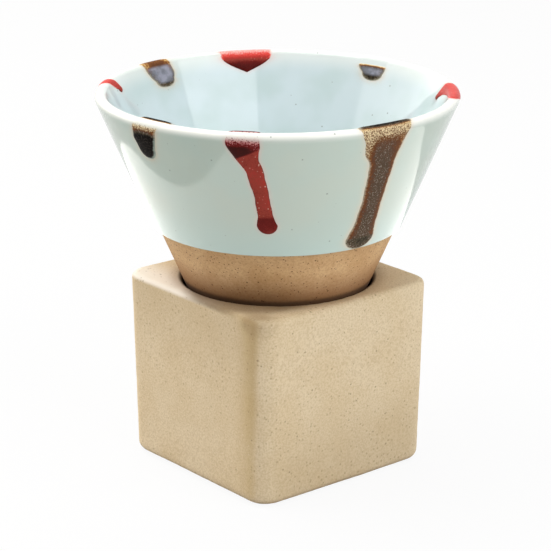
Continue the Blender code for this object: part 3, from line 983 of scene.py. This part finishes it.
lay_run(
    "brown_run_back", brown_glaze, 98.0, tip_in=1.7, tip_out=3.2, painted_sheen=(1.7, 7.3),
    thickness=flow(0.36, 0.44, 0.92, 0.75, 0.70, 0.88, 6.0, 11.5, depth=(1.8, 4.0), pool_blur=2.0),
    rows=(
        (-6.2, -4.5, 2.0), (-4.6, -5.3, 3.6), (-2.2, -4.8, 4.6), (0.0, -4.8, 5.2), (4.0, -4.8, 5.0),
        (9.0, -3.1, 3.4), (14.4, -2.7, 3.5),
    ),
)
lay_run(
    "red_run_back_left", red_glaze, 130.4, tip_in=1.0, tip_out=2.5,
    thickness=flow(0.30, 0.38, 0.56, 0.95, 0.56, 0.76, 6.6, 24.4, inner_edge=(0.3, 1.3), pool_slant=-0.3),
    rows=(
        (-4.2, -6.0, -3.8), (-2.7, -5.2, -1.0), (-1.2, -3.6, 1.0), (0.5, -2.6, 3.4), (4.0, -3.0, 3.3),
        (9.0, -2.0, 2.0), (23.5, -2.4, 1.6), (26.4, -3.0, 2.0),
    ),
)
for name, values in stains.items():
    keep_values(coat, name, values)

# Floor, light and camera
# A plain white floor, soft daylight from a window at the back left, four paler screens, and a bright board on
# the table that only the glaze mirrors. The camera stands where the photograph was taken from.

lamp_distance = 0.9
lamp_aim_height = 0.06
warm_white = (1.0, 0.98, 0.95)
cool_white = (0.97, 0.985, 1.0)


def seen_or_mirrored(tree):
    """1 for rays that come from the camera, straight or by way of a glossy or glassy surface."""
    rays = tree.nodes.new("ShaderNodeLightPath").outputs
    mirrored = calc(tree, "MAXIMUM", rays["Is Glossy Ray"], rays["Is Transmission Ray"])
    return calc(tree, "MAXIMUM", rays["Is Camera Ray"], mirrored)


bpy.ops.object.select_all(action="DESELECT")
bpy.ops.mesh.primitive_plane_add(size=8, location=(0, 0, -0.0002))
floor = bpy.context.object
floor.name = "floor"
white, tree, shader, place = start_material("floor_white", 0.9)
shader.inputs["Base Color"].default_value = (0.7, 0.7, 0.7, 1)
shader.inputs["Specular IOR Level"].default_value = 0.0
glow = add_node(tree, "ShaderNodeEmission", {"Color": (1, 1, 1, 1), "Strength": 1.0})
seen = calc(tree, "MULTIPLY", seen_or_mirrored(tree), 0.92)
mixed = add_node(tree, "ShaderNodeMixShader", {0: seen, 1: shader.outputs[0], 2: glow.outputs[0]})
tree.links.new(mixed.outputs[0], tree.nodes["Material Output"].inputs["Surface"])
floor.data.materials.append(white)

world = bpy.data.worlds.new("daylight")
bpy.context.scene.world = world
world.use_nodes = True
tree = world.node_tree
sky = tree.nodes["Background"]
sky.inputs["Color"].default_value = (0.96, 0.98, 1.0, 1)
sky.inputs["Strength"].default_value = 0.20
bright = add_node(tree, "ShaderNodeBackground", {"Color": (1, 1, 1, 1), "Strength": 1.0})
seen = seen_or_mirrored(tree)
mixed = add_node(tree, "ShaderNodeMixShader", {0: seen, 1: sky.outputs[0], 2: bright.outputs[0]})
tree.links.new(mixed.outputs[0], tree.nodes["World Output"].inputs["Surface"])


def add_lamp(name, azimuth, elevation, width, height, power, tint):
    """A soft rectangular lamp that looks at the cup from an azimuth and elevation in degrees."""
    lamp = bpy.data.lights.new(name, "AREA")
    lamp.shape = "RECTANGLE"
    lamp.size = width
    lamp.size_y = height
    lamp.energy = power
    lamp.color = tint
    placed = bpy.data.objects.new(name, lamp)
    bpy.context.scene.collection.objects.link(placed)
    turn = math.radians(azimuth)
    tilt = math.radians(elevation)
    placed.location = (
        lamp_distance * math.cos(tilt) * math.cos(turn),
        lamp_distance * math.cos(tilt) * math.sin(turn),
        lamp_aim_height + lamp_distance * math.sin(tilt),
    )
    placed.rotation_euler = (math.pi / 2 - tilt, 0, turn + math.pi / 2)
    placed.visible_camera = False


add_lamp("window_back_left", 112, 45, 1.4, 1.4, 12.5, warm_white)
add_lamp("screen_left", 170, 66, 0.7, 0.5, 2.2, warm_white)
add_lamp("screen_above_right", 10, 70, 0.5, 0.4, 1.4, warm_white)
add_lamp("screen_right", -79, 36, 0.83, 0.55, 4.5, cool_white)
add_lamp("low_screen_right", -70, 14, 0.6, 0.25, 0.9, cool_white)

board = bpy.data.lights.new("bright_board", "AREA")
board.shape = "ELLIPSE"
board.size = 0.255
board.size_y = 0.430
board.energy = 0.47
board.color = (1.0, 0.97, 0.92)
board_placed = bpy.data.objects.new("bright_board", board)
bpy.context.scene.collection.objects.link(board_placed)
board_placed.location = (0.0285, -0.0020, 0.0004)
board_placed.rotation_euler = (math.pi, 0, math.radians(-4))
board_placed.visible_camera = False
board_placed.visible_diffuse = False

camera = bpy.data.cameras.new("camera")
camera.lens = 153.2
camera.sensor_width = 36
camera_placed = bpy.data.objects.new("camera", camera)
bpy.context.scene.collection.objects.link(camera_placed)
camera_placed.location = (-0.3800, -0.4586, 0.2459)
camera_placed.rotation_euler = (math.radians(71.85), 0, math.radians(-39.6))
bpy.context.scene.camera = camera_placed
bpy.context.scene.view_settings.view_transform = "Standard"
